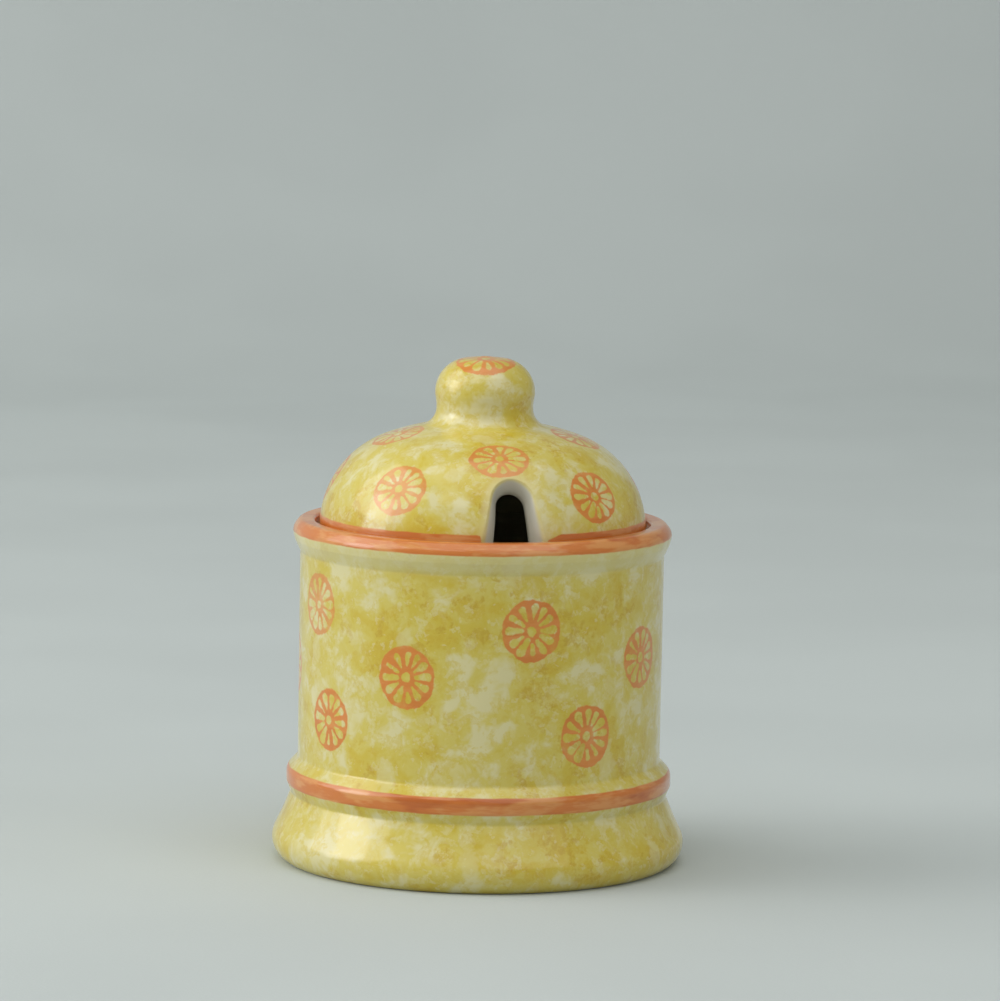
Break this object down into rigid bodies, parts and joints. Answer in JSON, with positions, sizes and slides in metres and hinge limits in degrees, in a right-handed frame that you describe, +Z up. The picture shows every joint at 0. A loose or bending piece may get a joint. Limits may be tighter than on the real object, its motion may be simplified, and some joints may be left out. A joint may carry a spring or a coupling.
{
  "type": "jam pot",
  "caption": "Round glazed ceramic jam pot on a flared foot, with a loose domed lid that has a knob and a spoon notch.",
  "frame": {"origin": "centre of the foot's resting ring, on the surface that the pot stands on", "axes": "+Z up along the pot's axis, -Y towards the notch in the lid's edge, +X to the right seen from there"},
  "size_m": [0.0946, 0.0946, 0.1154],
  "materials": {
    "pot_glaze": "glossy clear glaze over sponged yellow, with a painted orange rim and bead",
    "lid_glaze": "glossy clear glaze over sponged yellow, with a painted orange band at the edge"
  },
  "bodies": {
    "root": {"pot": "pot_glaze", "lid": "lid_glaze"}
  },
  "joints": []
}
